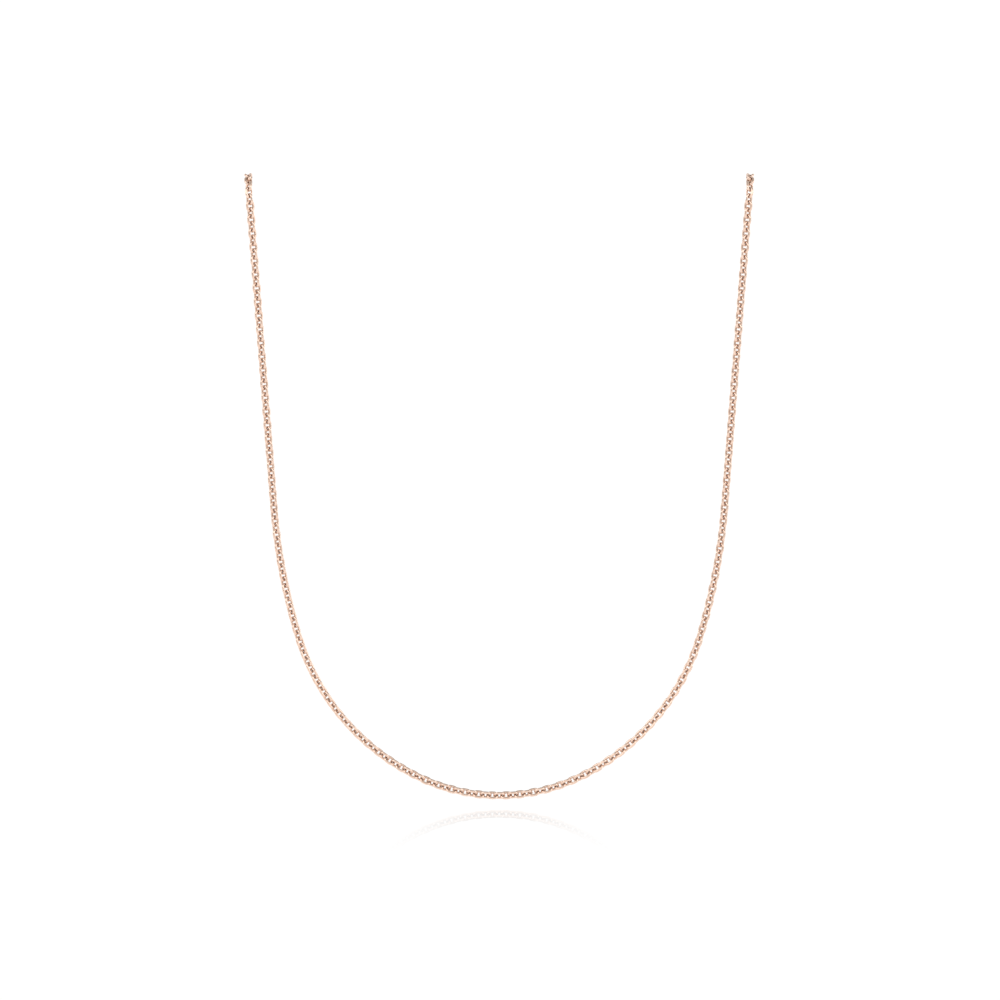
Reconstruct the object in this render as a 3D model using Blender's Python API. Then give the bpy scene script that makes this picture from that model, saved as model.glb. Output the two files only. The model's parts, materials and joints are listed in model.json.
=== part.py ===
"""Fine cable-chain necklace, fastened with a lobster clasp and hanging from a neck.

World axes, in metres: +Z is up, X runs across the neck and the front hangs on the -Y side.
The neck opening is centred on the origin, and the clasp lies at the nape on the +Y side.
The chain is an odd number of alike oval links. Link 0 is the lowest one, at the middle of
the front. Positive numbers climb the right strand (+X) and negative numbers the left one,
and both go on round the neck to the clasp. A run of links is one solid: a ring at each end,
linked through the next run's ring, and a bar for the links between them, which swells at
each link and narrows where two links meet.
"""

import math

import bmesh
import bpy
from mathutils import Matrix, Vector

MM = 0.001

# Chain link: oval ring of round wire.
PITCH = 1.36 * MM
WIRE = 0.50 * MM
LINK_WIDTH = 1.90 * MM
PLAY = 0.08 * MM
LINK_TURN = math.radians(45)
LINK_SWELL = 0.66 * MM
LINK_NECK = 0.46 * MM

# Hanging front: arcs (radius, slope at the upper end) from the lowest link upwards,
# then a straight strand up to the neck.
FRONT_ARCS = (
    (36.6 * MM, math.radians(25.8)),
    (45.7 * MM, math.radians(73.0)),
    (120.2 * MM, math.radians(85.5)),
)
DROP = 122.6 * MM

# Loop round the neck: a tight bend backwards, a straight side, a quarter circle to the nape.
RIM_RADIUS = 4.5 * MM
CLASP_HALF = 6.7 * MM

# Links in each run.
BOTTOM_HALF = 5
FRONT_RUNS = 10
FRONT_LINKS = 10
SHOULDER_LINKS = 10
BACK_RUNS = 5
BACK_LINKS = 9

# Jump ring and end ring.
JUMP_RADIUS = 1.50 * MM
JUMP_WIRE = 0.50 * MM
END_RADIUS = 1.90 * MM
END_WIRE = 0.60 * MM

# Lobster clasp, measured from the middle of the nape: X along it, Z across it.
BODY_CENTRE = -0.79 * MM
BODY_HALF = (3.95 * MM, 0.95 * MM, 2.10 * MM)
BIGHT_CENTRE = (-2.12 * MM, 0.05 * MM)
BIGHT_HALF = (1.77 * MM, 1.20 * MM)
GATE_LEFT = -2.75 * MM
GATE_RIGHT = -0.62 * MM
SLOT_HALF = 0.42 * MM
EYE_CENTRE = 3.85 * MM
EYE_RADIUS = 1.20 * MM
EYE_HOLE = 0.65 * MM
EYE_HALF_THICKNESS = 0.35 * MM
PIVOT = (0.95 * MM, -0.95 * MM)
RIVET_RADIUS = 0.26 * MM
RIVET_HOLE = 0.30 * MM
RIVET_HALF_LENGTH = 0.78 * MM
SPRING_AT = 0.10 * MM
SPRING_RADIUS = 0.22 * MM
SPRING_WIRE = 0.10 * MM
SPRING_FOOT = -0.82 * MM
SPRING_TOP = 0.33 * MM
SPRING_TURNS = 4

ROSE_GOLD = (0.86, 0.56, 0.44, 1.0)
SPRING_STEEL = (0.55, 0.55, 0.57, 1.0)

LAST_LINK = (
    BOTTOM_HALF + FRONT_RUNS * FRONT_LINKS + SHOULDER_LINKS + BACK_RUNS * BACK_LINKS
)
CHAIN_HALF = (LAST_LINK + 0.5) * PITCH
X_AXIS = Vector((1, 0, 0))
Y_AXIS = Vector((0, 1, 0))


# ---------------------------------------------------------------- the chain's path

def front_pieces():
    """Arcs of the hanging front as (start, radius, slope, x, height), the strand last."""
    pieces = []
    start = x = height = slope = 0.0
    for radius, end in FRONT_ARCS:
        pieces.append((start, radius, slope, x, height))
        start += radius * (end - slope)
        x += radius * (math.sin(end) - math.sin(slope))
        height += radius * (math.cos(slope) - math.cos(end))
        slope = end
    pieces.append((start, math.inf, slope, x, height))
    return pieces


PIECES = front_pieces()
STRAND_START, _, STRAND_SLOPE, STRAND_X, STRAND_HEIGHT = PIECES[-1]
STRAND_UP = Vector((math.cos(STRAND_SLOPE), 0, math.sin(STRAND_SLOPE)))
STRAND_LENGTH = (DROP - STRAND_HEIGHT) / STRAND_UP.z - RIM_RADIUS
RIM_START = STRAND_START + STRAND_LENGTH
SIDE_START = RIM_START + RIM_RADIUS * math.pi / 2
SIDE_X = STRAND_X + (STRAND_LENGTH + RIM_RADIUS) * STRAND_UP.x
NAPE_RADIUS = SIDE_X - CLASP_HALF
NAPE_START = CHAIN_HALF - NAPE_RADIUS * math.pi / 2
SIDE_LENGTH = NAPE_START - SIDE_START
LOOP_DEPTH = RIM_RADIUS + SIDE_LENGTH + NAPE_RADIUS
FRONT_Y = -LOOP_DEPTH / 2
NAPE_Y = LOOP_DEPTH / 2


def right_half(s):
    """Point, direction and outward normal of the path s metres from the lowest link."""
    if s <= RIM_START:
        start, radius, slope, x, height = [p for p in PIECES if p[0] <= s][-1]
        along = s - start
        if math.isinf(radius):
            point = Vector((x, 0, height)) + STRAND_UP * along
        else:
            before = slope
            slope += along / radius
            x += radius * (math.sin(slope) - math.sin(before))
            height += radius * (math.cos(before) - math.cos(slope))
            point = Vector((x, 0, height))
        point += Vector((0, FRONT_Y, -DROP))
        direction = Vector((math.cos(slope), 0, math.sin(slope)))
        return point, direction, Vector((direction.z, 0, -direction.x))
    if s <= SIDE_START:
        turn = (s - RIM_START) / RIM_RADIUS
        foot = Vector((SIDE_X, FRONT_Y, 0)) - STRAND_UP * RIM_RADIUS
        rise = STRAND_UP * math.sin(turn) + Y_AXIS * (1 - math.cos(turn))
        direction = STRAND_UP * math.cos(turn) + Y_AXIS * math.sin(turn)
        outward = Vector((STRAND_UP.z, 0, -STRAND_UP.x))
        return foot + rise * RIM_RADIUS, direction, outward
    if s <= NAPE_START:
        point = Vector((SIDE_X, FRONT_Y + RIM_RADIUS + s - SIDE_START, 0))
        return point, Y_AXIS.copy(), X_AXIS.copy()
    turn = (s - NAPE_START) / NAPE_RADIUS
    outward = Vector((math.cos(turn), math.sin(turn), 0))
    centre = Vector((CLASP_HALF, NAPE_Y - NAPE_RADIUS, 0))
    return centre + outward * NAPE_RADIUS, Vector((-outward.y, outward.x, 0)), outward


def path(s):
    """The whole path: negative s is the left half, the mirror image of the right one."""
    point, direction, outward = right_half(abs(s))
    if s < 0:
        point.x = -point.x
        direction = Vector((direction.x, -direction.y, -direction.z))
        outward.x = -outward.x
    return point, direction, outward


# ---------------------------------------------------------------- modelling helpers

def wire_mesh(route, radius, closed, sides=6, swell=None):
    """Round wire along a route, as a bevelled curve; swell scales it at each point."""
    curve = bpy.data.curves.new("wire", "CURVE")
    curve.dimensions = "3D"
    curve.bevel_depth = radius
    curve.bevel_resolution = sides // 2 - 2
    curve.use_fill_caps = True
    spline = curve.splines.new("POLY")
    spline.points.add(len(route) - 1)
    spline.use_cyclic_u = closed
    for i, point in enumerate(route):
        spline.points[i].co = (*point, 1)
        spline.points[i].radius = swell[i] if swell else 1
    helper = bpy.data.objects.new("wire", curve)
    mesh = bpy.data.meshes.new_from_object(helper)
    bpy.data.objects.remove(helper)
    bpy.data.curves.remove(curve)
    return mesh


def drum_mesh(centre, radius, half_length, axis, sides=16):
    """Straight round drum about a world axis; radius may be a pair for an oval drum."""
    across = radius if isinstance(radius, tuple) else (radius, radius)
    bm = bmesh.new()
    bmesh.ops.create_cone(
        bm, cap_ends=True, segments=sides, radius1=1, radius2=1, depth=2 * half_length
    )
    bm.transform(Matrix.Diagonal((across[0], across[1], 1, 1)))
    if axis == "Y":
        bm.transform(Matrix.Rotation(math.pi / 2, 4, "X"))
    bm.transform(Matrix.Translation(centre))
    mesh = bpy.data.meshes.new("drum")
    bm.to_mesh(mesh)
    bm.free()
    return mesh


def block_mesh(low, high):
    """Box between two opposite corners."""
    bm = bmesh.new()
    bmesh.ops.create_cube(bm, size=1)
    size = Vector(high) - Vector(low)
    bm.transform(Matrix.Diagonal((*size, 1)))
    bm.transform(Matrix.Translation((Vector(low) + Vector(high)) / 2))
    mesh = bpy.data.meshes.new("block")
    bm.to_mesh(mesh)
    bm.free()
    return mesh


def plate_mesh(outline, half_thickness):
    """Flat plate: an outline of (x, z) points at the nape, extruded along Y."""
    bm = bmesh.new()
    corners = [bm.verts.new((x, NAPE_Y - half_thickness, z)) for x, z in outline]
    face = bm.faces.new(corners)
    made = bmesh.ops.extrude_face_region(bm, geom=[face])["geom"]
    moved = [v for v in made if isinstance(v, bmesh.types.BMVert)]
    bmesh.ops.translate(bm, verts=moved, vec=(0, 2 * half_thickness, 0))
    bmesh.ops.recalc_face_normals(bm, faces=bm.faces)
    mesh = bpy.data.meshes.new("plate")
    bm.to_mesh(mesh)
    bm.free()
    return mesh


def combine(base, steps):
    """Apply ("UNION" or "DIFFERENCE", mesh) steps to a base mesh with exact Booleans."""
    target = bpy.data.objects.new("target", base)
    bpy.context.scene.collection.objects.link(target)
    tools = []
    for operation, mesh in steps:
        tool = bpy.data.objects.new("tool", mesh)
        bpy.context.scene.collection.objects.link(tool)
        tools.append(tool)
        modifier = target.modifiers.new(operation, "BOOLEAN")
        modifier.operation = operation
        modifier.solver = "EXACT"
        modifier.object = tool
    depsgraph = bpy.context.evaluated_depsgraph_get()
    depsgraph.update()
    result = bpy.data.meshes.new_from_object(target.evaluated_get(depsgraph))
    for helper in (target, *tools):
        bpy.data.objects.remove(helper)
    return result


def finish(name, colour, roughness):
    """Polished metal of one sub-part."""
    material = bpy.data.materials.new(name + "_metal")
    material.use_nodes = True
    shader = material.node_tree.nodes["Principled BSDF"]
    shader.inputs["Base Color"].default_value = colour
    shader.inputs["Metallic"].default_value = 1.0
    shader.inputs["Roughness"].default_value = roughness
    return material


def add_part(name, mesh, origin, colour=ROSE_GOLD, roughness=0.2, smooth=True):
    """Put a mesh made in world coordinates into the scene with its origin on its joint."""
    mesh.name = name
    mesh.transform(Matrix.Translation(-Vector(origin)))
    mesh.materials.clear()
    mesh.materials.append(finish(name, colour, roughness))
    if smooth:
        mesh.shade_smooth()
    part = bpy.data.objects.new(name, mesh)
    part.location = origin
    bpy.context.scene.collection.objects.link(part)
    return part


# ---------------------------------------------------------------- chain runs

def oval_route(length, width, steps=4):
    """Closed oval in the local XY plane: two half circles joined by straight sides."""
    radius = width / 2
    shift = (length - width) / 2
    route = []
    for end in (0, 1):
        for step in range(steps + 1):
            angle = math.pi * (step / steps - 0.5 + end)
            x = radius * math.cos(angle) + (shift if end == 0 else -shift)
            route.append(Vector((x, radius * math.sin(angle), 0)))
    return route


def link_turn(number):
    """Turn of a link about the chain; the last back run twists upright at the clasp."""
    turn = LINK_TURN if number % 2 == 0 else -LINK_TURN
    into_last_run = max(0, abs(number) - (LAST_LINK - BACK_LINKS))
    return turn + LINK_TURN * into_last_run / BACK_LINKS


def link_frame(number):
    """Matrix of one link: X along the chain, Y across the link."""
    point, direction, outward = path(number * PITCH)
    sideways = direction.cross(outward)
    turn = link_turn(number)
    across = outward * math.cos(turn) + sideways * math.sin(turn)
    frame = Matrix((direction, across, direction.cross(across))).transposed().to_4x4()
    frame.translation = point
    return frame


def link_mesh(number):
    """One link of the chain as an oval ring of round wire."""
    oval = oval_route(PITCH + PLAY + WIRE, LINK_WIDTH - WIRE)
    frame = link_frame(number)
    return wire_mesh([frame @ point for point in oval], WIRE / 2, closed=True)


def add_run(name, first, last, hinge):
    """Run of links first to last: two end rings and a bar; hinge is the joint's place."""
    inner = PITCH / 2 + PLAY / 2 + WIRE / 3
    stations = [(first * PITCH + inner, LINK_NECK)]
    for number in range(first + 1, last):
        stations.append((number * PITCH, LINK_SWELL))
        stations.append(((number + 0.5) * PITCH, LINK_NECK))
    stations[-1] = (last * PITCH - inner, LINK_NECK)
    route = [path(s)[0] for s, _ in stations]
    bar = wire_mesh(route, 1, closed=False, swell=[radius for _, radius in stations])
    rings = [("UNION", link_mesh(number)) for number in (first, last)]
    return add_part(name, combine(bar, rings), path(hinge)[0])


def add_pair(stem, first, count):
    """Matching runs on the right and left strands, hinged at the end nearer the neck."""
    last = first + count - 1
    hinge = (last + 0.5) * PITCH
    if hinge > RIM_START + RIM_RADIUS:
        hinge = (first - 0.5) * PITCH
    add_run(stem + "_right", first, last, hinge)
    add_run(stem + "_left", -last, -first, -hinge)


def add_chain():
    """Every run, from the bottom of the front up and round to the clasp."""
    add_run("bottom_run", -BOTTOM_HALF, BOTTOM_HALF, 0)
    first = BOTTOM_HALF + 1
    for number in range(FRONT_RUNS, 0, -1):
        add_pair(f"front_run_{number:02d}", first, FRONT_LINKS)
        first += FRONT_LINKS
    add_pair("shoulder_run", first, SHOULDER_LINKS)
    first += SHOULDER_LINKS
    for number in range(1, BACK_RUNS + 1):
        add_pair(f"back_run_{number:02d}", first, BACK_LINKS)
        first += BACK_LINKS


# ---------------------------------------------------------------- clasp

def flat_ring(centre_x, radius, wire, steps=18):
    """Round ring lying level at the nape."""
    route = []
    for step in range(steps):
        angle = math.tau * step / steps
        x = centre_x + radius * math.cos(angle)
        route.append(Vector((x, NAPE_Y + radius * math.sin(angle), 0)))
    return wire_mesh(route, wire / 2, closed=True)


def jump_ring_x():
    """Centre of the jump ring: its wire hangs in the last right-hand link."""
    return CLASP_HALF + PLAY / 2 + JUMP_WIRE / 2 - JUMP_RADIUS


def end_ring_x():
    """Centre of the end ring: its wire hangs in the last left-hand link."""
    return END_RADIUS - CLASP_HALF - PLAY / 2 - END_WIRE / 2


def at_nape(x, z, y=0.0):
    """World point from clasp coordinates."""
    return Vector((x, NAPE_Y + y, z))


def clasp_body_mesh():
    """Claw: a rounded body with the bight, the gate gap, the lever slot and a tail eye."""
    bm = bmesh.new()
    bmesh.ops.create_uvsphere(bm, u_segments=24, v_segments=12, radius=1)
    bm.transform(Matrix.Rotation(math.pi / 2, 4, "X"))
    bm.transform(Matrix.Diagonal((*BODY_HALF, 1)))
    bm.transform(Matrix.Translation(at_nape(BODY_CENTRE, 0)))
    shell = bpy.data.meshes.new("shell")
    bm.to_mesh(shell)
    bm.free()
    deep = 2 * MM
    eye = drum_mesh(at_nape(EYE_CENTRE, 0), EYE_RADIUS, EYE_HALF_THICKNESS, "Y", 20)
    eye_hole = drum_mesh(at_nape(EYE_CENTRE, 0), EYE_HOLE, deep, "Y", 16)
    bight = drum_mesh(at_nape(*BIGHT_CENTRE), BIGHT_HALF, deep, "Y", 24)
    gate = block_mesh(
        at_nape(GATE_LEFT, -3 * MM, -deep), at_nape(GATE_RIGHT, -0.4 * MM, deep)
    )
    slot = block_mesh(
        at_nape(-0.80 * MM, -3 * MM, -SLOT_HALF), at_nape(1.75 * MM, -0.05 * MM, SLOT_HALF)
    )
    pocket = drum_mesh(
        at_nape(SPRING_AT, 0.05 * MM), SPRING_RADIUS + 0.09 * MM, 0.33 * MM, "Z", 12
    )
    rivet_hole = drum_mesh(at_nape(*PIVOT), RIVET_HOLE, deep, "Y", 12)
    cuts = (eye_hole, bight, gate, slot, pocket, rivet_hole)
    return combine(shell, [("UNION", eye)] + [("DIFFERENCE", cut) for cut in cuts])


def oval_edge(x, centre, half):
    """Height of an oval's lower edge at x, below its own centre line."""
    return -half[1] * math.sqrt(1 - ((x - centre) / half[0]) ** 2)


def trigger_mesh():
    """Lever: a curved gate closing the bight, an arm to the rivet and a thumb tab."""
    tip = GATE_LEFT + 0.20 * MM
    heel = GATE_RIGHT - 0.13 * MM
    places = [tip + (heel - tip) * i / 5 for i in range(6)]
    body = (BODY_HALF[0], BODY_HALF[2])
    outside = [(x, oval_edge(x, BODY_CENTRE, body) + 0.05 * MM) for x in places]
    inside = [
        (x, BIGHT_CENTRE[1] + oval_edge(x, BIGHT_CENTRE[0], BIGHT_HALF))
        for x in reversed(places)
    ]
    gate = plate_mesh(outside + inside, 0.50 * MM)
    half = SLOT_HALF - 0.08 * MM
    arm = plate_mesh(
        (
            (heel - 0.10 * MM, -1.75 * MM),
            (0.35 * MM, -1.75 * MM),
            (PIVOT[0], PIVOT[1] - 0.50 * MM),
            (PIVOT[0], PIVOT[1] + 0.10 * MM),
            (heel - 0.10 * MM, PIVOT[1] + 0.10 * MM),
        ),
        half,
    )
    hub = drum_mesh(at_nape(*PIVOT), 0.55 * MM, half, "Y", 16)
    tab = block_mesh(
        at_nape(-0.50 * MM, -2.75 * MM, -half + 0.02 * MM),
        at_nape(0.25 * MM, -1.60 * MM, half - 0.02 * MM),
    )
    hole = drum_mesh(at_nape(*PIVOT), RIVET_HOLE, 2 * MM, "Y", 12)
    return combine(
        gate, [("UNION", arm), ("UNION", hub), ("UNION", tab), ("DIFFERENCE", hole)]
    )


def spring_mesh():
    """Tiny coil spring standing on the lever's arm."""
    steps = 9 * SPRING_TURNS
    foot = SPRING_FOOT + SPRING_WIRE / 2
    rise = SPRING_TOP - SPRING_FOOT - SPRING_WIRE
    route = []
    for step in range(steps + 1):
        angle = math.tau * SPRING_TURNS * step / steps
        x = SPRING_AT + SPRING_RADIUS * math.cos(angle)
        z = foot + rise * step / steps
        route.append(at_nape(x, z, SPRING_RADIUS * math.sin(angle)))
    return wire_mesh(route, SPRING_WIRE / 2, closed=False)


def add_clasp():
    """Jump ring, clasp with its lever, rivet and spring, and the ring it closes on."""
    jump = flat_ring(jump_ring_x(), JUMP_RADIUS, JUMP_WIRE)
    add_part("jump_ring", jump, at_nape(CLASP_HALF, 0))
    add_part("clasp_body", clasp_body_mesh(), at_nape(EYE_CENTRE + EYE_HOLE, 0))
    pivot = at_nape(*PIVOT)
    add_part("clasp_trigger", trigger_mesh(), pivot)
    rivet = drum_mesh(pivot, RIVET_RADIUS, RIVET_HALF_LENGTH, "Y", 12)
    add_part("clasp_rivet", rivet, pivot)
    spring = spring_mesh()
    add_part("clasp_spring", spring, at_nape(SPRING_AT, SPRING_TOP), SPRING_STEEL, 0.3)
    ring = flat_ring(end_ring_x(), END_RADIUS, END_WIRE)
    add_part("end_ring", ring, at_nape(-CLASP_HALF, 0))


for item in list(bpy.data.objects):
    bpy.data.objects.remove(item)
add_chain()
add_clasp()
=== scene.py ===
import json
import math
import random

import bmesh
import bpy
from mathutils import Matrix, Vector

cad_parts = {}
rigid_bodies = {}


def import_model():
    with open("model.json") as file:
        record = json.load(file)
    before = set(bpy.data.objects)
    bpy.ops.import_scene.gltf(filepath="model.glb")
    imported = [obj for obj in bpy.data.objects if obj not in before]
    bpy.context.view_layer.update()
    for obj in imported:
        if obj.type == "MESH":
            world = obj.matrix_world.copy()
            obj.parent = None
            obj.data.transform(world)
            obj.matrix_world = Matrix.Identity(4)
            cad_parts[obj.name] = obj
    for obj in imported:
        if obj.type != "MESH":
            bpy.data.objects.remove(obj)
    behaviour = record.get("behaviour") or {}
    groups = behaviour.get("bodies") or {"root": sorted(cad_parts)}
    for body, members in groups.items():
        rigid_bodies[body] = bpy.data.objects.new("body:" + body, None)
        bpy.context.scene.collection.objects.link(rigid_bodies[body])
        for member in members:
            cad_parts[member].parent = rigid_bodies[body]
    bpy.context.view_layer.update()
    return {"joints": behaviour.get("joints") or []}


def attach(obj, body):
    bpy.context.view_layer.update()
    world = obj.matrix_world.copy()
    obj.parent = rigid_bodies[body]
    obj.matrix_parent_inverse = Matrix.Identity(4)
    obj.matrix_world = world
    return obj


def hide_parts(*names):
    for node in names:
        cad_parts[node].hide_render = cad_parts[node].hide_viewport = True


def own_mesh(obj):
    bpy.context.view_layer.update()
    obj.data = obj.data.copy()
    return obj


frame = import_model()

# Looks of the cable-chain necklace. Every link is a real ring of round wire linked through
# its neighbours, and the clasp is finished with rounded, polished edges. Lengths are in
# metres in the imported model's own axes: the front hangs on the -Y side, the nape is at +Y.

MM = 0.001
JOINTS = {joint["name"]: joint for joint in frame["joints"]}
CHANCE = random.Random(7)

# Chain link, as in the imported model.
PITCH = 1.36 * MM
WIRE = 0.50 * MM
LINK_WIDTH = 1.90 * MM
PLAY = 0.08 * MM
LINK_TURN = math.radians(45)
LINK_STEPS = 16
WIRE_SIDES = 12
JITTER = math.radians(3)
SEAM_HALF = 0.12 * MM
SEAM_SWELL = 1.03

# Hanging front: arcs (radius, slope at the upper end) from the lowest link upwards.
FRONT_ARCS = (
    (36.6 * MM, math.radians(25.8)),
    (45.7 * MM, math.radians(73.0)),
    (120.2 * MM, math.radians(85.5)),
)
DROP = 122.6 * MM
RIM_RADIUS = 4.5 * MM
CLASP_HALF = 6.7 * MM

# Links in each run.
BOTTOM_HALF = 5
FRONT_RUNS = 10
FRONT_LINKS = 10
SHOULDER_LINKS = 10
BACK_RUNS = 5
BACK_LINKS = 9
LAST_LINK = (
    BOTTOM_HALF + FRONT_RUNS * FRONT_LINKS + SHOULDER_LINKS + BACK_RUNS * BACK_LINKS
)
CHAIN_HALF = (LAST_LINK + 0.5) * PITCH

FRONT_Y = JOINTS["front_swing_05"]["pos_m"][1]
NAPE_Y = JOINTS["clasp_turn"]["pos_m"][1]

X_AXIS = Vector((1, 0, 0))
Y_AXIS = Vector((0, 1, 0))


# ---------------------------------------------------------------- the chain's path

def front_pieces():
    """Arcs of the hanging front as (start, radius, slope, x, height), the strand last."""
    pieces = []
    start = x = height = slope = 0.0
    for radius, end in FRONT_ARCS:
        pieces.append((start, radius, slope, x, height))
        start += radius * (end - slope)
        x += radius * (math.sin(end) - math.sin(slope))
        height += radius * (math.cos(slope) - math.cos(end))
        slope = end
    pieces.append((start, math.inf, slope, x, height))
    return pieces


PIECES = front_pieces()
STRAND_START, _, STRAND_SLOPE, STRAND_X, STRAND_HEIGHT = PIECES[-1]
STRAND_UP = Vector((math.cos(STRAND_SLOPE), 0, math.sin(STRAND_SLOPE)))
STRAND_LENGTH = (DROP - STRAND_HEIGHT) / STRAND_UP.z - RIM_RADIUS
RIM_START = STRAND_START + STRAND_LENGTH
SIDE_START = RIM_START + RIM_RADIUS * math.pi / 2
SIDE_X = STRAND_X + (STRAND_LENGTH + RIM_RADIUS) * STRAND_UP.x
NAPE_RADIUS = SIDE_X - CLASP_HALF
NAPE_START = CHAIN_HALF - NAPE_RADIUS * math.pi / 2


def right_half(s):
    """Point, direction and outward normal of the path s metres from the lowest link."""
    if s <= RIM_START:
        start, radius, slope, x, height = [p for p in PIECES if p[0] <= s][-1]
        along = s - start
        if math.isinf(radius):
            point = Vector((x, 0, height)) + STRAND_UP * along
        else:
            before = slope
            slope += along / radius
            x += radius * (math.sin(slope) - math.sin(before))
            height += radius * (math.cos(before) - math.cos(slope))
            point = Vector((x, 0, height))
        point += Vector((0, FRONT_Y, -DROP))
        direction = Vector((math.cos(slope), 0, math.sin(slope)))
        return point, direction, Vector((direction.z, 0, -direction.x))
    if s <= SIDE_START:
        turn = (s - RIM_START) / RIM_RADIUS
        foot = Vector((SIDE_X, FRONT_Y, 0)) - STRAND_UP * RIM_RADIUS
        rise = STRAND_UP * math.sin(turn) + Y_AXIS * (1 - math.cos(turn))
        direction = STRAND_UP * math.cos(turn) + Y_AXIS * math.sin(turn)
        outward = Vector((STRAND_UP.z, 0, -STRAND_UP.x))
        return foot + rise * RIM_RADIUS, direction, outward
    if s <= NAPE_START:
        point = Vector((SIDE_X, FRONT_Y + RIM_RADIUS + s - SIDE_START, 0))
        return point, Y_AXIS.copy(), X_AXIS.copy()
    turn = (s - NAPE_START) / NAPE_RADIUS
    outward = Vector((math.cos(turn), math.sin(turn), 0))
    centre = Vector((CLASP_HALF, NAPE_Y - NAPE_RADIUS, 0))
    return centre + outward * NAPE_RADIUS, Vector((-outward.y, outward.x, 0)), outward


def path(s):
    """The whole path: negative s is the left half, the mirror image of the right one."""
    point, direction, outward = right_half(abs(s))
    if s < 0:
        point.x = -point.x
        direction = Vector((direction.x, -direction.y, -direction.z))
        outward.x = -outward.x
    return point, direction, outward


# ---------------------------------------------------------------- materials

def node_maker(material):
    """Function that adds a shader node, sets its values and links its inputs."""
    tree = material.node_tree

    def make(kind, values=(), **links):
        node = tree.nodes.new(kind)
        for key, value in dict(values).items():
            if hasattr(node, key):
                setattr(node, key, value)
            else:
                node.inputs[key].default_value = value
        for key, source in links.items():
            tree.links.new(source, node.inputs[key.replace("_", " ")])
        return node

    return make


def ramp(make, source, span, low, high):
    """Map a source from the span (start, end) to the range from low to high."""
    values = {"From Min": span[0], "From Max": span[1], "To Min": low, "To Max": high}
    return make("ShaderNodeMapRange", values, Value=source)


def compute(make, operation, *sources):
    """Math node on one or two sources, each of them a number or a node's output."""
    node = make("ShaderNodeMath", {"operation": operation})
    for i, source in enumerate(sources):
        if isinstance(source, (int, float)):
            node.inputs[i].default_value = source
        else:
            node.id_data.links.new(source, node.inputs[i])
    return node.outputs[0]


def polished_metal(name, tone, shade, painted_shade, roughness, grain):
    """Polished metal: tone varies from link to link, painted shade darkens the hollows, fine
    scratches.

    tone and shade are the ends of the colour range, the third colour is the painted shade that
    darkens the hollows, roughness the (low, high) range and grain the size of the scratches in
    metres.
    """
    material = bpy.data.materials.new(name)
    material.use_nodes = True
    tree = material.node_tree
    tree.nodes.clear()
    make = node_maker(material)
    output = make("ShaderNodeOutputMaterial")
    shader = make("ShaderNodeBsdfPrincipled", {"Metallic": 1.0})
    tree.links.new(shader.outputs[0], output.inputs[0])
    place = make("ShaderNodeTexCoord").outputs["Object"]
    island = make("ShaderNodeNewGeometry").outputs["Random Per Island"]

    cloud = make("ShaderNodeTexNoise", {"Scale": 900.0, "Detail": 3.0}, Vector=place)
    mean = compute(make, "MULTIPLY", compute(make, "ADD", cloud.outputs[0], island), 0.5)
    tones = make("ShaderNodeValToRGB", Fac=mean)
    tones.color_ramp.elements[0].position = 0.25
    tones.color_ramp.elements[0].color = (*shade, 1)
    tones.color_ramp.elements[1].position = 0.75
    tones.color_ramp.elements[1].color = (*tone, 1)

    # Painted shade: ambient occlusion blends the base colour towards the dark painted shade
    # colour in the hollows and where links cross.
    ao_shade = make("ShaderNodeAmbientOcclusion", {"Distance": 0.5 * MM, "samples": 8})
    painted_shade_mask = ramp(make, ao_shade.outputs["AO"], (0.15, 0.85), 0.0, 1.0)
    mixed = make("ShaderNodeMix", {"data_type": "RGBA"})
    tree.links.new(painted_shade_mask.outputs[0], mixed.inputs["Factor"])
    mixed.inputs[6].default_value = (*painted_shade, 1)
    tree.links.new(tones.outputs[0], mixed.inputs[7])
    tree.links.new(mixed.outputs[2], shader.inputs["Base Color"])

    stretch = make("ShaderNodeMapping", {"Scale": (1.0, 0.22, 0.22)}, Vector=place)
    scratch = make(
        "ShaderNodeTexNoise",
        {"Scale": 1 / grain, "Detail": 5.0, "Roughness": 0.65},
        Vector=stretch.outputs[0],
    )
    rough = ramp(make, scratch.outputs[0], (0.3, 0.7), *roughness)
    tree.links.new(rough.outputs[0], shader.inputs["Roughness"])
    bump = make("ShaderNodeBump", {"Strength": 0.35, "Distance": 0.004 * MM})
    tree.links.new(scratch.outputs[0], bump.inputs["Height"])
    tree.links.new(bump.outputs[0], shader.inputs["Normal"])
    return material


# Each material's third colour is the painted shade laid into its hollows.
ROSE_GOLD = polished_metal(
    "rose_gold_links", (0.95, 0.73, 0.60), (0.88, 0.64, 0.51), (0.26, 0.14, 0.085),
    (0.16, 0.30), 0.06 * MM,
)
CLASP_GOLD = polished_metal(
    "rose_gold_clasp", (0.95, 0.73, 0.60), (0.88, 0.64, 0.51), (0.36, 0.20, 0.13),
    (0.08, 0.20), 0.15 * MM,
)
SPRING_STEEL = polished_metal(
    "spring_steel", (0.62, 0.62, 0.64), (0.50, 0.50, 0.52), (0.20, 0.19, 0.18),
    (0.25, 0.40), 0.05 * MM,
)


# ---------------------------------------------------------------- modelling helpers

def sweep(bm, route, across, radii, sides):
    """Closed ring of round wire: route points, their in-plane normals and wire radii."""
    rings = []
    count = len(route)
    for i, point in enumerate(route):
        along = (route[(i + 1) % count] - route[i - 1]).normalized()
        side = across[i]
        up = along.cross(side)
        ring = []
        for j in range(sides):
            angle = math.tau * j / sides
            offset = side * math.cos(angle) + up * math.sin(angle)
            ring.append(bm.verts.new(point + offset * radii[i]))
        rings.append(ring)
    for i, ring in enumerate(rings):
        after = rings[(i + 1) % count]
        for j in range(sides):
            k = (j + 1) % sides
            bm.faces.new((ring[j], ring[k], after[k], after[j]))


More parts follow.
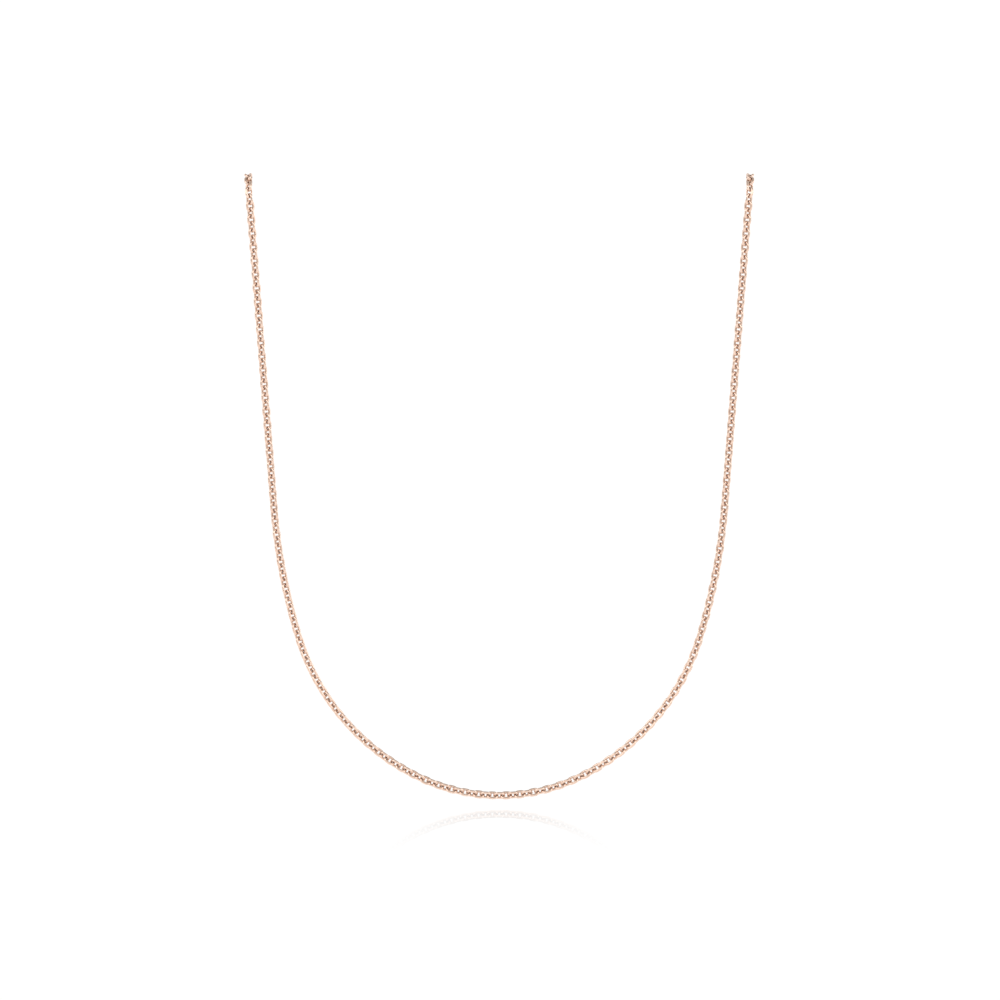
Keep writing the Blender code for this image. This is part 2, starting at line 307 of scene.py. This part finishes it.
def piece(name, mesh, material, body, slot, *nodes):
    """Add a finished piece that rides on a body and stands for the named CAD nodes."""
    mesh.name = name
    mesh.materials.clear()
    mesh.materials.append(material)
    mesh.shade_smooth()
    made = bpy.data.objects.new(name, mesh)
    bpy.context.scene.collection.objects.link(made)
    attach(made, body)
    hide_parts(*nodes)
    return made


# ---------------------------------------------------------------- chain

def oval(length, width, steps):
    """Oval centre line in the local XY plane, as (point, outward normal) pairs."""
    radius = width / 2
    shift = (length - width) / 2
    stations = []
    for end in (1, -1):
        for step in range(steps + 1):
            angle = math.pi * (step / steps - 0.5)
            normal = Vector((math.cos(angle), math.sin(angle), 0)) * end
            stations.append((Vector((shift * end, 0, 0)) + normal * radius, normal))
        for part in (0.5, 0.0, -0.5):
            point = Vector((shift * end * part, radius * end, 0))
            stations.append((point, Vector((0, end, 0))))
    return stations


def link_turn(number):
    """Turn of a link about the chain; the last back run twists upright at the clasp."""
    turn = LINK_TURN if number % 2 == 0 else -LINK_TURN
    into_last_run = max(0, abs(number) - (LAST_LINK - BACK_LINKS))
    return turn + LINK_TURN * into_last_run / BACK_LINKS


def link_frame(number, twist):
    """Matrix of one link: X along the chain, Y across the link."""
    point, direction, outward = path(number * PITCH)
    sideways = direction.cross(outward)
    turn = link_turn(number) + twist
    across = outward * math.cos(turn) + sideways * math.sin(turn)
    axes = Matrix((direction, across, direction.cross(across))).transposed().to_4x4()
    axes.translation = point
    return axes


OVAL = oval(PITCH + PLAY + WIRE, LINK_WIDTH - WIRE, LINK_STEPS)


def slow_twist(number):
    """Small lazy twist of the hanging strands, fading out before the clasp.

    It is about 6 degrees, so alternate links stand at about 39 and 51 degrees.
    """
    fade = max(0.0, 1 - abs(number) / (LAST_LINK - BACK_LINKS))
    wave = math.sin(number * 0.055 + 0.8) + 0.6 * math.sin(number * 0.021 - 1.1)
    return math.radians(6 + 3 * wave) * min(1.0, 3 * fade)


def add_link(bm, number):
    """One oval link; the solder seam is a slight swelling on one long side."""
    jitter = CHANCE.uniform(-JITTER, JITTER)
    axes = link_frame(number, slow_twist(number) + jitter)
    turn = axes.to_3x3()
    flip = 1 if CHANCE.random() < 0.5 else -1
    route = []
    across = []
    radii = []
    for point, normal in OVAL:
        route.append(axes @ point)
        across.append(turn @ normal)
        at_seam = flip * point.y > 0 and abs(point.x) < SEAM_HALF
        radii.append(WIRE / 2 * (SEAM_SWELL if at_seam else 1.0))
    sweep(bm, route, across, radii, WIRE_SIDES)


def add_run(name, first, last, body, *nodes):
    """Run of separate interlocked links, first to last."""
    bm = bmesh.new()
    for number in range(first, last + 1):
        add_link(bm, number)
    mesh = bpy.data.meshes.new(name)
    bm.to_mesh(mesh)
    bm.free()
    piece(name, mesh, ROSE_GOLD, body, "chain_rose_gold", *nodes)


def add_pair(stem, first, count, body):
    """Matching runs on the right and left strands."""
    last = first + count - 1
    add_run("links_" + stem + "_right", first, last, body, stem + "_right")
    add_run("links_" + stem + "_left", -last, -first, body, stem + "_left")


def add_chain():
    """Every run, from the bottom of the front up and round to the clasp."""
    add_run("links_bottom", -BOTTOM_HALF, BOTTOM_HALF, "front_bottom", "bottom_run")
    first = BOTTOM_HALF + 1
    for number in range(FRONT_RUNS, 0, -1):
        add_pair(f"front_run_{number:02d}", first, FRONT_LINKS, f"front_band_{number:02d}")
        first += FRONT_LINKS
    add_pair("shoulder_run", first, SHOULDER_LINKS, "shoulders")
    first += SHOULDER_LINKS
    for number in range(1, BACK_RUNS + 1):
        add_pair(f"back_run_{number:02d}", first, BACK_LINKS, f"back_band_{number:02d}")
        first += BACK_LINKS


add_chain()


# ---------------------------------------------------------------- clasp

# Measured from the middle of the nape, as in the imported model: X along it, Z across it.
JUMP_RADIUS = 1.50 * MM
JUMP_WIRE = 0.50 * MM
END_RADIUS = 1.90 * MM
END_WIRE = 0.60 * MM
BODY_CENTRE = -0.79 * MM
BODY_HALF = (3.95 * MM, 0.95 * MM, 2.10 * MM)
BIGHT_CENTRE = (-2.12 * MM, 0.05 * MM)
BIGHT_HALF = (1.77 * MM, 1.20 * MM)
GATE_LEFT = -2.75 * MM
GATE_RIGHT = -0.62 * MM
GATE_TOP = -0.40 * MM
SLOT_LEFT = -0.80 * MM
SLOT_RIGHT = 1.75 * MM
SLOT_TOP = -0.05 * MM
SLOT_HALF = 0.42 * MM
EYE_CENTRE = 3.85 * MM
EYE_RADIUS = 1.20 * MM
EYE_HOLE = 0.65 * MM
EYE_HALF_THICKNESS = 0.35 * MM
PIVOT = (0.95 * MM, -0.95 * MM)
RIVET_RADIUS = 0.26 * MM
RIVET_HOLE = 0.30 * MM
RIVET_HALF_LENGTH = 0.78 * MM
RIVET_DOME = 0.10 * MM
LEVER_GAP = 0.08 * MM
ARM_FOOT = -1.75 * MM
KNUCKLE_RADIUS = 0.55 * MM
TAB_LEFT = -0.50 * MM
TAB_RIGHT = 0.25 * MM
TAB_TOP = -1.60 * MM
TAB_FOOT = -2.75 * MM
TAB_ROUND = 0.40 * MM
SPRING_AT = 0.10 * MM
SPRING_RADIUS = 0.22 * MM
SPRING_WIRE = 0.10 * MM
SPRING_FOOT = -0.82 * MM
SPRING_TOP = 0.33 * MM
SPRING_TURNS = 4
POCKET_RADIUS = SPRING_RADIUS + 0.09 * MM
POCKET_HALF = 0.33 * MM
# Depths and heights that reach well past the clasp, for cutting right through it.
RIGHT_THROUGH = 2 * MM
WELL_BELOW = -3 * MM
# Grain of a cast surface and how many times it is smoothed.
BODY_CAST = (0.036 * MM, 36)
LEVER_CAST = (0.026 * MM, 48)
RING_STEPS = 72
RING_SIDES = 20


def at_nape(x, z, y=0.0):
    """World point from clasp coordinates."""
    return Vector((x, NAPE_Y + y, z))


def mesh_from(bm, name):
    """Turn a finished bmesh into a mesh."""
    mesh = bpy.data.meshes.new(name)
    bm.to_mesh(mesh)
    bm.free()
    return mesh


def drum(centre, radius, half_length, axis, sides=48):
    """Straight round drum about a world axis; radius may be a pair for an oval drum."""
    across = radius if isinstance(radius, tuple) else (radius, radius)
    bm = bmesh.new()
    bmesh.ops.create_cone(
        bm, cap_ends=True, segments=sides, radius1=1, radius2=1, depth=2 * half_length
    )
    bm.transform(Matrix.Diagonal((across[0], across[1], 1, 1)))
    if axis == "Y":
        bm.transform(Matrix.Rotation(math.pi / 2, 4, "X"))
    bm.transform(Matrix.Translation(centre))
    return mesh_from(bm, "drum")


def block(low, high):
    """Box between two opposite corners."""
    bm = bmesh.new()
    bmesh.ops.create_cube(bm, size=1)
    bm.transform(Matrix.Diagonal((*(high - low), 1)))
    bm.transform(Matrix.Translation((low + high) / 2))
    return mesh_from(bm, "block")


def plate(outline, half_thickness):
    """Flat plate: an outline of (x, z) points at the nape, extruded along Y."""
    bm = bmesh.new()
    corners = [bm.verts.new((x, NAPE_Y - half_thickness, z)) for x, z in outline]
    made = bmesh.ops.extrude_face_region(bm, geom=[bm.faces.new(corners)])["geom"]
    moved = [v for v in made if isinstance(v, bmesh.types.BMVert)]
    bmesh.ops.translate(bm, verts=moved, vec=(0, 2 * half_thickness, 0))
    bmesh.ops.recalc_face_normals(bm, faces=bm.faces)
    return mesh_from(bm, "plate")


def cast(base, steps, grain, rounds):
    """Combine shapes with exact Booleans, then round every edge as a casting has them."""
    scene = bpy.context.scene.collection.objects
    target = bpy.data.objects.new("target", base)
    scene.link(target)
    tools = []
    for operation, mesh in steps:
        tool = bpy.data.objects.new("tool", mesh)
        scene.link(tool)
        tools.append(tool)
        modifier = target.modifiers.new(operation, "BOOLEAN")
        modifier.operation = operation
        modifier.solver = "EXACT"
        modifier.object = tool
    remesh = target.modifiers.new("cast", "REMESH")
    remesh.mode = "VOXEL"
    remesh.voxel_size = grain
    soften = target.modifiers.new("soften", "SMOOTH")
    soften.factor = 0.5
    soften.iterations = rounds
    depsgraph = bpy.context.evaluated_depsgraph_get()
    depsgraph.update()
    result = bpy.data.meshes.new_from_object(target.evaluated_get(depsgraph))
    for helper in (target, *tools):
        bpy.data.objects.remove(helper)
    return result


def flat_ring(centre_x, radius, wire, cut_at, cut):
    """Round ring lying level at the nape; a cut leaves a hairline gap between its ends."""
    bm = bmesh.new()
    route = []
    across = []
    radii = []
    for step in range(RING_STEPS):
        angle = cut_at + math.tau * (step + 0.5) / RING_STEPS
        normal = Vector((math.cos(angle), math.sin(angle), 0))
        route.append(at_nape(centre_x, 0) + normal * radius)
        across.append(normal)
        radii.append(wire / 2)
    sweep(bm, route, across, radii, RING_SIDES)
    if cut:
        # The faces across the cut are replaced by two flat wire ends, almost touching.
        bm.verts.ensure_lookup_table()
        first = bm.verts[:RING_SIDES]
        last = bm.verts[-RING_SIDES:]
        between = [
            face for face in bm.faces
            if all(v in first or v in last for v in face.verts)
        ]
        bmesh.ops.delete(bm, geom=between, context="FACES_ONLY")
        closing = (route[-1] - route[0]) / 2 * 0.85
        for ring, sign in ((first, 1), (last, -1)):
            for vert in ring:
                vert.co += closing * sign
            bm.faces.new(ring if sign < 0 else list(reversed(ring)))
        bmesh.ops.recalc_face_normals(bm, faces=bm.faces)
    return mesh_from(bm, "ring")


def clasp_body():
    """Claw: a rounded body with the bight, the gate gap, the lever slot and a tail eye."""
    bm = bmesh.new()
    bmesh.ops.create_uvsphere(bm, u_segments=72, v_segments=36, radius=1)
    bm.transform(Matrix.Rotation(math.pi / 2, 4, "X"))
    bm.transform(Matrix.Diagonal((*BODY_HALF, 1)))
    bm.transform(Matrix.Translation(at_nape(BODY_CENTRE, 0)))
    low_gate = at_nape(GATE_LEFT, WELL_BELOW, -RIGHT_THROUGH)
    high_gate = at_nape(GATE_RIGHT, GATE_TOP, RIGHT_THROUGH)
    low_slot = at_nape(SLOT_LEFT, WELL_BELOW, -SLOT_HALF)
    high_slot = at_nape(SLOT_RIGHT, SLOT_TOP, SLOT_HALF)
    pocket = at_nape(SPRING_AT, 0.05 * MM)
    steps = [
        ("UNION", drum(at_nape(EYE_CENTRE, 0), EYE_RADIUS, EYE_HALF_THICKNESS, "Y")),
        ("DIFFERENCE", drum(at_nape(EYE_CENTRE, 0), EYE_HOLE, RIGHT_THROUGH, "Y")),
        ("DIFFERENCE", drum(at_nape(*BIGHT_CENTRE), BIGHT_HALF, RIGHT_THROUGH, "Y")),
        ("DIFFERENCE", block(low_gate, high_gate)),
        ("DIFFERENCE", block(low_slot, high_slot)),
        ("DIFFERENCE", drum(pocket, POCKET_RADIUS, POCKET_HALF, "Z")),
        ("DIFFERENCE", drum(at_nape(*PIVOT), RIVET_HOLE, RIGHT_THROUGH, "Y")),
    ]
    return cast(mesh_from(bm, "claw"), steps, *BODY_CAST)


def oval_edge(x, centre, half):
    """Height of an oval's lower edge at x, below its own centre line."""
    return -half[1] * math.sqrt(1 - ((x - centre) / half[0]) ** 2)


def clasp_trigger():
    """Lever: a curved gate closing the bight, an arm to the rivet and a thumb tab."""
    tip = GATE_LEFT + 0.20 * MM
    heel = GATE_RIGHT - 0.13 * MM
    places = [tip + (heel - tip) * i / 16 for i in range(17)]
    body = (BODY_HALF[0], BODY_HALF[2])
    outside = [(x, oval_edge(x, BODY_CENTRE, body) + 0.05 * MM) for x in places]
    inside = [
        (x, BIGHT_CENTRE[1] + oval_edge(x, BIGHT_CENTRE[0], BIGHT_HALF))
        for x in reversed(places)
    ]
    half = SLOT_HALF - LEVER_GAP
    arm = (
        (heel - 0.10 * MM, ARM_FOOT),
        (0.35 * MM, ARM_FOOT),
        (PIVOT[0], PIVOT[1] - 0.50 * MM),
        (PIVOT[0], PIVOT[1] + 0.10 * MM),
        (heel - 0.10 * MM, PIVOT[1] + 0.10 * MM),
    )
    tab = half - 0.02 * MM
    tab_end = at_nape((TAB_LEFT + TAB_RIGHT) / 2, TAB_FOOT + TAB_ROUND)
    low_tab = at_nape(TAB_LEFT, TAB_FOOT + TAB_ROUND, -tab)
    high_tab = at_nape(TAB_RIGHT, TAB_TOP, tab)
    steps = [
        ("UNION", plate(arm, half)),
        ("UNION", drum(at_nape(*PIVOT), KNUCKLE_RADIUS, half, "Y")),
        ("UNION", block(low_tab, high_tab)),
        ("UNION", drum(tab_end, TAB_ROUND, tab, "Y")),
        ("DIFFERENCE", drum(at_nape(*PIVOT), RIVET_HOLE, RIGHT_THROUGH, "Y")),
    ]
    return cast(plate(outside + inside, 0.50 * MM), steps, *LEVER_CAST)


def clasp_rivet():
    """Turned pin whose two ends are peened into low domes."""
    profile = [(0.0, -RIVET_HALF_LENGTH)]
    for step in range(1, 7):
        angle = math.pi / 2 * step / 6
        reach = RIVET_RADIUS * math.sin(angle)
        profile.append((reach, -RIVET_HALF_LENGTH + RIVET_DOME * (1 - math.cos(angle))))
    profile += [(reach, -height) for reach, height in reversed(profile)]
    bm = bmesh.new()
    chain = [bm.verts.new(at_nape(PIVOT[0] + r, PIVOT[1], y)) for r, y in profile]
    edges = [bm.edges.new(pair) for pair in zip(chain, chain[1:])]
    bmesh.ops.spin(
        bm, geom=chain + edges, cent=at_nape(*PIVOT), axis=(0, 1, 0),
        angle=math.tau, steps=32, use_merge=True,
    )
    bmesh.ops.remove_doubles(bm, verts=bm.verts, dist=0.002 * MM)
    bmesh.ops.recalc_face_normals(bm, faces=bm.faces)
    return mesh_from(bm, "rivet")


def clasp_spring():
    """Tiny coil spring standing on the lever's arm."""
    steps = 24 * SPRING_TURNS
    foot = SPRING_FOOT + SPRING_WIRE / 2
    rise = SPRING_TOP - SPRING_FOOT - SPRING_WIRE
    curve = bpy.data.curves.new("spring", "CURVE")
    curve.dimensions = "3D"
    curve.bevel_depth = SPRING_WIRE / 2
    curve.bevel_resolution = 3
    curve.use_fill_caps = True
    spline = curve.splines.new("POLY")
    spline.points.add(steps)
    for step, spot in enumerate(spline.points):
        angle = math.tau * SPRING_TURNS * step / steps
        x = SPRING_AT + SPRING_RADIUS * math.cos(angle)
        z = foot + rise * step / steps
        spot.co = (*at_nape(x, z, SPRING_RADIUS * math.sin(angle)), 1)
    helper = bpy.data.objects.new("spring", curve)
    mesh = bpy.data.meshes.new_from_object(helper)
    bpy.data.objects.remove(helper)
    return mesh


JUMP_X = CLASP_HALF + PLAY / 2 + JUMP_WIRE / 2 - JUMP_RADIUS
END_X = END_RADIUS - CLASP_HALF - PLAY / 2 - END_WIRE / 2
jump = flat_ring(JUMP_X, JUMP_RADIUS, JUMP_WIRE, math.radians(70), cut=True)
end = flat_ring(END_X, END_RADIUS, END_WIRE, 0, cut=False)
for name, mesh, body, node in (
    ("ring_jump", jump, "jump_ring", "jump_ring"),
    ("ring_end", end, "end_ring", "end_ring"),
    ("claw_body", clasp_body(), "clasp", "clasp_body"),
    ("claw_lever", clasp_trigger(), "trigger", "clasp_trigger"),
    ("claw_rivet", clasp_rivet(), "clasp", "clasp_rivet"),
):
    piece(name, mesh, CLASP_GOLD, body, "clasp_rose_gold", node)
coil = piece(
    "claw_spring", clasp_spring(), SPRING_STEEL, "clasp", "spring_steel", "clasp_spring"
)
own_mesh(coil)


# ---------------------------------------------------------------- stage, light and camera

FLOOR_Z = -DROP - 1.85 * MM
FLOOR_REACH = 3.0
PATCH_X = 22.8 * MM
PATCH_Y = (-0.33, -0.03)
PATCH_RISE = 0.02 * MM
VIEW_WIDTH = 198 * MM
SENSOR = 36
CAMERA_DISTANCE = 2.3
CAMERA_X = 0.15 * MM
CAMERA_Z = -64.1 * MM
WHITE = (1, 1, 1, 1)
# Masking card: its distance from the camera, then the half width, lowest and highest edge
# of its two parts, as they fall on the strands' plane.
CARD_DISTANCE = 0.15
CARD_BETWEEN = (48.9 * MM, -4.6 * MM, 2.0 * MM)
CARD_ABOVE = (60 * MM, 1.4 * MM, 60 * MM)
# Brightness at which the floor, and anything else of the set, comes out pure white.
FLOOR_WHITE = 1.045
PATCH_WHITE = 1.01
SET_WHITE = 1.05


def glow(name, strength, gloss=0.0, reach=1.0):
    """Evenly lit white; gloss adds a mirror image at grazing angles, fading over reach in X."""
    material = bpy.data.materials.new(name)
    material.use_nodes = True
    tree = material.node_tree
    tree.nodes.clear()
    make = node_maker(material)
    output = make("ShaderNodeOutputMaterial")
    lit = make("ShaderNodeEmission", {"Strength": strength})
    if not gloss:
        tree.links.new(lit.outputs[0], output.inputs[0])
        return material
    place = make("ShaderNodeTexCoord").outputs["Object"]
    axes = make("ShaderNodeSeparateXYZ", Vector=place)
    aside = compute(make, "ABSOLUTE", axes.outputs["X"])
    fade = ramp(make, aside, (0.0, reach), 1.0, 0.0)
    fade.interpolation_type = "SMOOTHSTEP"
    facing = make("ShaderNodeLayerWeight", {"Blend": 0.5}).outputs["Facing"]
    grazing = ramp(make, facing, (0.80, 0.97), 0.0, gloss)
    sheen = compute(make, "MULTIPLY", fade.outputs[0], grazing.outputs[0])
    mirror = make("ShaderNodeBsdfGlossy", {"Color": WHITE, "Roughness": 0.004})
    mix = make("ShaderNodeMixShader")
    tree.links.new(sheen, mix.inputs[0])
    tree.links.new(lit.outputs[0], mix.inputs[1])
    tree.links.new(mirror.outputs[0], mix.inputs[2])
    tree.links.new(mix.outputs[0], output.inputs[0])
    return material


def level_sheet(name, low, high, z, material):
    """Level rectangle of the set, between two (x, y) corners."""
    corners = [(low[0], low[1], z), (high[0], low[1], z), (*high, z), (low[0], high[1], z)]
    bm = bmesh.new()
    bm.faces.new([bm.verts.new(corner) for corner in corners])
    made = bpy.data.objects.new(name, mesh_from(bm, name))
    made.data.materials.append(material)
    bpy.context.scene.collection.objects.link(made)


# The floor is plain; only the stretch that mirrors the lowest links towards the main
# camera is polished, and its mirror image fades out to both sides.
level_sheet(
    "floor", (-FLOOR_REACH, -FLOOR_REACH), (FLOOR_REACH, FLOOR_REACH), FLOOR_Z,
    glow("pale_floor", FLOOR_WHITE),
)
level_sheet(
    "polished_patch", (-PATCH_X, PATCH_Y[0]), (PATCH_X, PATCH_Y[1]), FLOOR_Z + PATCH_RISE,
    glow("polished_floor", PATCH_WHITE, gloss=0.23, reach=PATCH_X),
)


def at_card(x, z):
    """Point of the card's plane that hides (x, z) of the strands' plane from the camera."""
    scale = CARD_DISTANCE / (CAMERA_DISTANCE + FRONT_Y)
    y = CARD_DISTANCE - CAMERA_DISTANCE
    return Vector((CAMERA_X + (x - CAMERA_X) * scale, y, CAMERA_Z + (z - CAMERA_Z) * scale))


# The photograph shows only the hanging front. A small white card close in front of the
# camera masks what is between the tops of the strands and above them, where the back of
# the loop would show. Only the camera sees it, and it is far from every other view.
bm = bmesh.new()
for half_width, low, high in (CARD_BETWEEN, CARD_ABOVE):
    corners = ((-half_width, low), (half_width, low), (half_width, high), (-half_width, high))
    bm.faces.new([bm.verts.new(at_card(x, z)) for x, z in corners])
card = bpy.data.objects.new("masking_card", mesh_from(bm, "masking_card"))
card.data.materials.append(glow("card_white", SET_WHITE))
card.visible_diffuse = False
card.visible_glossy = False
card.visible_shadow = False
card.visible_transmission = False
bpy.context.scene.collection.objects.link(card)

world = bpy.data.worlds.new("studio")
bpy.context.scene.world = world
world.use_nodes = True
tree = world.node_tree
tree.nodes.clear()
make = node_maker(world)
output = make("ShaderNodeOutputWorld")
direction = make("ShaderNodeTexCoord").outputs["Generated"]
axes = make("ShaderNodeSeparateXYZ", Vector=direction)
# A white tent, dimmer overhead, with a dark patch behind the camera; its directions are
# the world's own. The camera itself sees plain white.
behind = ramp(make, axes.outputs["Y"], (0.1, -0.9), 0.0, 1.0)
steepness = compute(make, "ABSOLUTE", axes.outputs["Z"])
level_with = ramp(make, steepness, (0.30, 0.10), 0.0, 0.75)
patch = compute(make, "MULTIPLY", behind.outputs[0], level_with.outputs[0])
overhead = ramp(make, axes.outputs["Z"], (0.3, 0.9), 1.0, 0.40)
strength = compute(make, "MULTIPLY", compute(make, "SUBTRACT", 1.0, patch), overhead.outputs[0])
tent = make("ShaderNodeBackground", {"Color": WHITE}, Strength=strength)
plain = make("ShaderNodeBackground", {"Color": WHITE, "Strength": SET_WHITE})
seen = make("ShaderNodeLightPath")
choice = make("ShaderNodeMixShader")
tree.links.new(seen.outputs["Is Camera Ray"], choice.inputs[0])
tree.links.new(tent.outputs[0], choice.inputs[1])
tree.links.new(plain.outputs[0], choice.inputs[2])
tree.links.new(choice.outputs[0], output.inputs[0])

for name, place, size, power in (
    ("softbox_left", (-0.5, -0.5, 0.45), 0.6, 1.6),
    ("softbox_right", (0.6, -0.35, 0.25), 0.5, 1.0),
):
    lamp = bpy.data.lights.new(name, "AREA")
    lamp.size = size
    lamp.energy = power
    holder = bpy.data.objects.new(name, lamp)
    holder.location = place
    aim = Vector((0, 0, CAMERA_Z)) - holder.location
    holder.rotation_euler = aim.to_track_quat("-Z", "Y").to_euler()
    bpy.context.scene.collection.objects.link(holder)

lens = bpy.data.cameras.new("camera")
lens.sensor_width = SENSOR
lens.lens = SENSOR * (CAMERA_DISTANCE + FRONT_Y) / VIEW_WIDTH
lens.clip_end = 10
camera = bpy.data.objects.new("camera", lens)
camera.location = (CAMERA_X, -CAMERA_DISTANCE, CAMERA_Z)
camera.rotation_euler = (math.pi / 2, 0, 0)
bpy.context.scene.collection.objects.link(camera)
bpy.context.scene.camera = camera
bpy.context.scene.view_settings.view_transform = "Standard"
